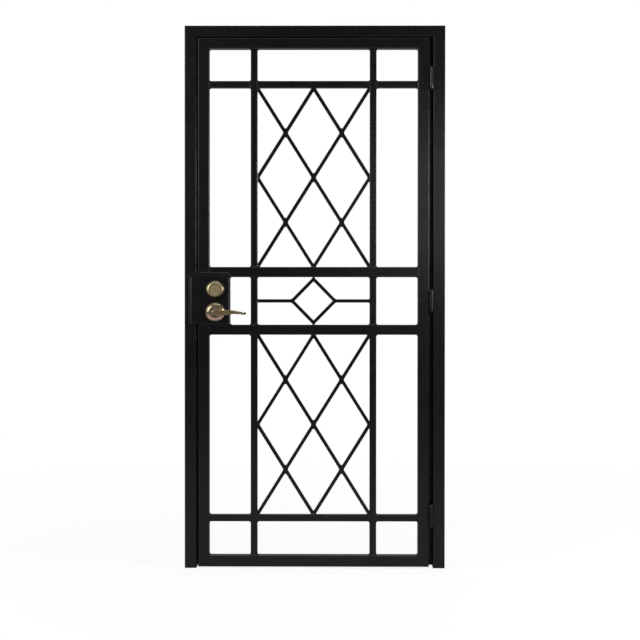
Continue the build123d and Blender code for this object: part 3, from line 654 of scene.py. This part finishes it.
def hinge_welds():
    """Beads round the hinge wings, on the leaf for the upper halves and on the jamb for the lower.

    A wing starts a little way from the end of its half where the two halves meet.
    """
    wing_height, from_meeting_end, past_tube_edge = 0.027, 0.001, 0.003
    fore = Edges.front + past_tube_edge
    for body, half, face_side, standing_out in (
        ("leaf", "sleeve", 0, RIGHTWARD),
        ("frame", "barrel", 1, LEFTWARD),
    ):
        shape = bmesh.new()
        for hinge in ("top", "middle", "bottom"):
            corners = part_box(f"{hinge}_hinge_{half}")
            x, rear = corners[face_side].x, corners[1].y
            if half == "sleeve":
                low = corners[0].z + from_meeting_end
            else:
                low = corners[1].z - from_meeting_end - wing_height
            high = low + wing_height
            bead(shape, (x, rear, low), (x, rear, high), standing_out, INWARD, HINGE_LEG)
            bead(shape, (x, fore, low), (x, rear, low), standing_out, DOWNWARD, HINGE_LEG)
            bead(shape, (x, fore, high), (x, rear, high), standing_out, UPWARD, HINGE_LEG)
        piece_from(shape, f"hinge_{half}_welds", body, "black_coated_steel")


def stop_welds():
    """Stitch welds along the door stops, on the side that the leaf closes against."""
    shape = bmesh.new()
    stitch, pitch, from_side_end, from_header_end = 0.035, 0.26, 0.05, 0.04
    for name, side, away in (("strike_stop", 0, RIGHTWARD), ("hinge_stop", 1, LEFTWARD)):
        low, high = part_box(name)
        x = (low, high)[side].x
        start = low.z + from_side_end
        while start + stitch < high.z:
            bead(shape, (x, low.y, start), (x, low.y, start + stitch), OUTWARD, away, STOP_LEG)
            start += pitch
    low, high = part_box("header_stop")
    y, z = low.y, high.z
    start = low.x + from_header_end
    while start + stitch < high.x:
        bead(shape, (start, y, z), (start + stitch, y, z), OUTWARD, DOWNWARD, STOP_LEG)
        start += pitch
    piece_from(shape, "stop_welds", "frame", "black_coated_steel")


opening_corner_welds()
bar_seam_welds()
flush_welds()
lattice_welds("upper_lattice_welds", Edges.upper_rail_high, Edges.high_bar_low)
lattice_welds("lower_lattice_welds", Edges.low_bar_high, Edges.lower_rail_low)
diamond_welds()
guard_plate_welds()
hinge_welds()
stop_welds()


# Screws

SCREW_RADIUS = 0.0036
SCREW_RISE = 0.0007
SCREW_SEGMENTS = 32
# The head's outline from its foot to its top, as shares of its radius and of its rise.
SCREW_PROFILE = ((1.0, -0.1), (1.0, 0.25), (0.94, 0.55), (0.8, 0.8), (0.62, 0.93))
CROSS_ARM = 0.48 * SCREW_RADIUS
CROSS_HALF_WIDTH = 0.11 * SCREW_RADIUS
CROSS_DEPTH = 1.05 * SCREW_RISE
CROSS_FLOOR_SHARE = 0.8


def screw_head(shape, centre, facing, turn):
    """Adds a low oval screw head with a cross recess, standing on a plate that faces one way."""
    centre, facing = Vector(centre), Vector(facing).normalized()
    side = UPWARD.cross(facing).normalized()
    up = facing.cross(side)

    def place(u, v, out):
        level = side * (u * cos(turn) - v * sin(turn)) + up * (u * sin(turn) + v * cos(turn))
        return shape.verts.new(centre + level + facing * out)

    angles = [2 * pi * n / SCREW_SEGMENTS for n in range(SCREW_SEGMENTS)]
    rings = []
    for share, lift in SCREW_PROFILE:
        reach, out = share * SCREW_RADIUS, lift * SCREW_RISE
        rings.append([place(reach * cos(angle), reach * sin(angle), out) for angle in angles])
    for near, far in zip(rings, rings[1:]):
        join_rings(shape, near, far)
    arm, half = CROSS_ARM, CROSS_HALF_WIDTH
    cross = (
        (arm, -half), (arm, half), (half, half), (half, arm), (-half, arm), (-half, half),
        (-arm, half), (-arm, -half), (-half, -half), (-half, -arm), (half, -arm), (half, -half),
    )
    rim = [place(u, v, SCREW_RISE) for u, v in cross]
    pit = [
        place(CROSS_FLOOR_SHARE * u, CROSS_FLOOR_SHARE * v, SCREW_RISE - CROSS_DEPTH)
        for u, v in cross
    ]
    join_rings(shape, rim, pit)
    shape.faces.new(pit)
    shape.faces.new(rings[0])
    borders = [edge for loop in (rings[-1], rim) for edge in loop_edges(shape, loop)]
    bmesh.ops.triangle_fill(shape, use_beauty=True, edges=borders)


def loop_edges(shape, loop):
    """The edges of a closed ring of vertices."""
    return [
        shape.edges.get((first, second)) or shape.edges.new((first, second))
        for first, second in zip(loop, loop[1:] + loop[:1])
    ]


def plate_screws(name, body, node, facing, spacing):
    """Two screws in each of the two plates of a node, above and below its bolt.

    No two screws stop at the same turn.
    """
    shape = bmesh.new()
    low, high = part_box(node)
    x = high.x if facing.x > 0 else low.x
    y = (low.y + high.y) / 2
    first_turn, turn_per_plate, turn_per_side = 0.5, 1.0, 0.7
    for index, centred_on in enumerate(("lever_spindle", "dead_bolt")):
        plate_height = sum(span(centred_on, "z")) / 2
        for side in (-1, 1):
            centre = (x, y, plate_height + side * spacing / 2)
            turn = first_turn + turn_per_plate * index + turn_per_side * side
            screw_head(shape, centre, facing, turn)
    piece_from(shape, name, body, "bright_steel", smooth=False)


plate_screws("strike_screws", "frame", "strike_plates", RIGHTWARD, spacing=0.052)
plate_screws("faceplate_screws", "leaf", "bolt_faceplates", LEFTWARD, spacing=0.043)


# Studio


def white_to_the_camera():
    """A world that is white to the camera, and dim to the rest.

    Metal and gloss see its backdrop, which is dark on the outside of the door and paler behind it.
    """
    world = bpy.data.worlds.new("studio")
    bpy.context.scene.world = world
    world.use_nodes = True
    tree = world.node_tree
    surround = tree.nodes["Background"]
    backdrop = tree.nodes.new("ShaderNodeBackground")
    white = tree.nodes.new("ShaderNodeBackground")
    for light in (surround, backdrop, white):
        light.inputs["Color"].default_value = (1, 1, 1, 1)
    surround.inputs["Strength"].default_value = 0.30
    white.inputs["Strength"].default_value = 1.0
    direction = tree.nodes.new("ShaderNodeTexCoord")
    axes = tree.nodes.new("ShaderNodeSeparateXYZ")
    tree.links.new(direction.outputs["Generated"], axes.inputs[0])
    strength = map_range(
        tree, axes.outputs["Y"], from_low=-0.05, from_high=0.45, low=0.03, high=0.20, smooth=True
    )
    tree.links.new(strength, backdrop.inputs["Strength"])
    rays = tree.nodes.new("ShaderNodeLightPath")
    shiny = tree.nodes.new("ShaderNodeMath")
    shiny.operation = "MAXIMUM"
    tree.links.new(rays.outputs["Is Glossy Ray"], shiny.inputs[0])
    tree.links.new(rays.outputs["Is Transmission Ray"], shiny.inputs[1])
    to_the_rest = mix_shaders(tree, shiny.outputs[0], surround.outputs[0], backdrop.outputs[0])
    to_all = mix_shaders(tree, rays.outputs["Is Camera Ray"], to_the_rest, white.outputs[0])
    tree.links.new(to_all, tree.nodes["World Output"].inputs["Surface"])


def floor():
    """A plain pale floor that keeps the door's soft shadow and is nearly white to the camera.

    Its own light makes up for the lamps, which reach its far side less.
    """
    reach, below_the_door = 4.5, 0.0005
    near, far = 1.0, 4.5
    mesh = bpy.data.meshes.new("studio_floor")
    corners = [(-reach, -reach, 0), (reach, -reach, 0), (reach, reach, 0), (-reach, reach, 0)]
    mesh.from_pydata(corners, [], [(0, 1, 2, 3)])
    piece = bpy.data.objects.new("studio_floor", mesh)
    bpy.context.scene.collection.objects.link(piece)
    piece.location = ((cad_low.x + cad_high.x) / 2, 0, cad_low.z - below_the_door)
    finish = Finish("pale_studio_floor")
    finish.put("Base Color", (0.80, 0.80, 0.80, 1))
    finish.put("Roughness", 0.9)
    finish.put("Specular IOR Level", 0.1)
    distance = finish.nodes.new("ShaderNodeVectorMath")
    distance.operation = "LENGTH"
    finish.links.new(finish.place, distance.inputs[0])
    rays = finish.nodes.new("ShaderNodeLightPath")
    surface = finish.shader.outputs[0]
    for ray, share, near_glow, far_glow in (
        ("Is Camera Ray", 0.84, 1.03, 1.13),
        ("Is Glossy Ray", 0.80, 0.25, 0.25),
    ):
        glow = finish.nodes.new("ShaderNodeEmission")
        strength = map_range(finish.tree, distance.outputs["Value"], near, far, near_glow, far_glow)
        finish.links.new(strength, glow.inputs["Strength"])
        part = finish.nodes.new("ShaderNodeMath")
        part.operation = "MULTIPLY"
        part.inputs[1].default_value = share
        finish.links.new(rays.outputs[ray], part.inputs[0])
        surface = mix_shaders(finish.tree, part.outputs[0], surface, glow.outputs[0])
    finish.links.new(surface, finish.nodes["Material Output"].inputs["Surface"])
    mesh.materials.append(finish.material)


def lamp(name, place, aim, width, height, power):
    """A rectangular soft light, seen in gloss but not by the camera."""
    light = bpy.data.lights.new(name, "AREA")
    light.shape = "RECTANGLE"
    light.size, light.size_y = width, height
    light.energy = power
    holder = bpy.data.objects.new(name, light)
    bpy.context.scene.collection.objects.link(holder)
    holder.location = place
    holder.rotation_mode = "QUATERNION"
    holder.rotation_quaternion = (Vector(aim) - Vector(place)).to_track_quat("-Z", "Y")
    holder.visible_camera = False


def lights():
    """A window over the camera's right shoulder, and broad banks at both sides, above and behind."""
    lamp("window_light", (0.6, -4.6, 1.82), (-0.2, 0, 1.5), width=0.9, height=0.9, power=5.0)
    lamp("left_bank", (-3.2, -2.1, 2.1), (-0.8, 0, 1.0), width=2.8, height=1.7, power=64)
    lamp("right_bank", (2.0, -1.0, 1.64), (-0.4, 0, 1.1), width=1.0, height=0.84, power=52)
    lamp("top_bank", (-0.5, -0.9, 4.3), (-0.5, 0, 0.9), width=2.6, height=1.2, power=22)
    lamp("back_bank", (-0.5, 2.6, 4.8), (-0.5, 0, 0.8), width=2.8, height=1.2, power=60)


def camera():
    """The photograph's viewpoint, from a fit to the door's edges in the picture."""
    place = Vector((-0.4509254, -4.6277703, 0.9807095))
    yaw, pitch, roll = -0.0053, -0.0077, 0.0005
    picture_width, focal = 640, 1210.04
    forward = Vector((sin(yaw) * cos(pitch), cos(yaw) * cos(pitch), sin(pitch)))
    level = Vector((cos(yaw), -sin(yaw), 0))
    rise = level.cross(forward)
    right = cos(roll) * level + sin(roll) * rise
    up = cos(roll) * rise - sin(roll) * level
    view = bpy.data.cameras.new("photo_camera")
    view.sensor_width = 36.0
    view.lens = view.sensor_width * focal / picture_width
    view.clip_start, view.clip_end = 0.05, 60
    holder = bpy.data.objects.new("photo_camera", view)
    bpy.context.scene.collection.objects.link(holder)
    turn = Matrix((right, up, -forward)).transposed()
    holder.matrix_world = Matrix.Translation(place) @ turn.to_4x4()
    bpy.context.scene.camera = holder


white_to_the_camera()
floor()
lights()
camera()
bpy.context.scene.view_settings.view_transform = "Standard"
